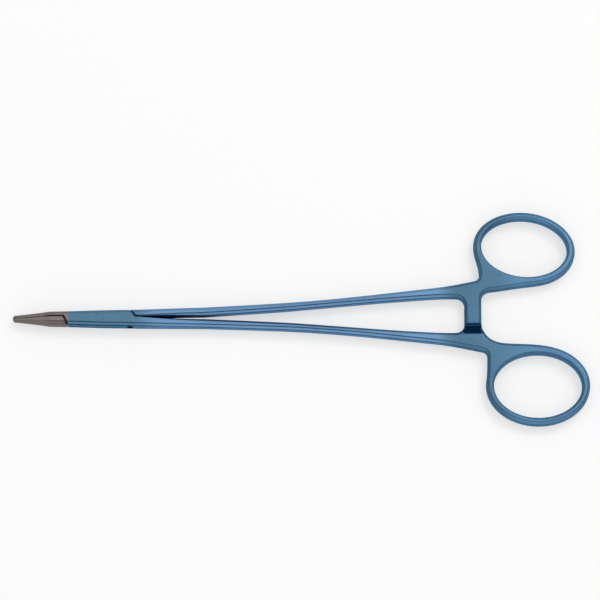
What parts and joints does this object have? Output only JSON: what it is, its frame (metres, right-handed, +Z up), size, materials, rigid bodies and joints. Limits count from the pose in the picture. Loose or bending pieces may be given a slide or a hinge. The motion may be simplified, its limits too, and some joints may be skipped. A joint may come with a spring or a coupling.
{
  "type": "surgical needle holder",
  "caption": "Slender box-lock needle holder with long shanks, finger rings, an overlapping ratchet and short tapered gripping jaws.",
  "frame": {"origin": "pivot axis at the underside of the box, with the instrument lying flat and the jaws closed", "axes": "+X from the pivot towards the finger rings, +Y across the handles towards the ring of the male half, +Z up out of the plane in which the handles swing"},
  "size_m": [0.1799, 0.0688, 0.005],
  "materials": {
    "anodised_half": "satin blue anodised metal, jaws bare grey",
    "pin": "satin blue anodised metal, ground flush"
  },
  "bodies": {
    "female_body": {"female_half": "anodised_half", "pivot_pin": "pin"},
    "male_body": {"male_half": "anodised_half"}
  },
  "joints": [
    {"name": "box_lock", "type": "hinge", "parent": "female_body", "child": "male_body", "pos_m": [0, 0, 0.0025], "axis": [0, 0, 1], "range_deg": [0, 28]}
  ]
}
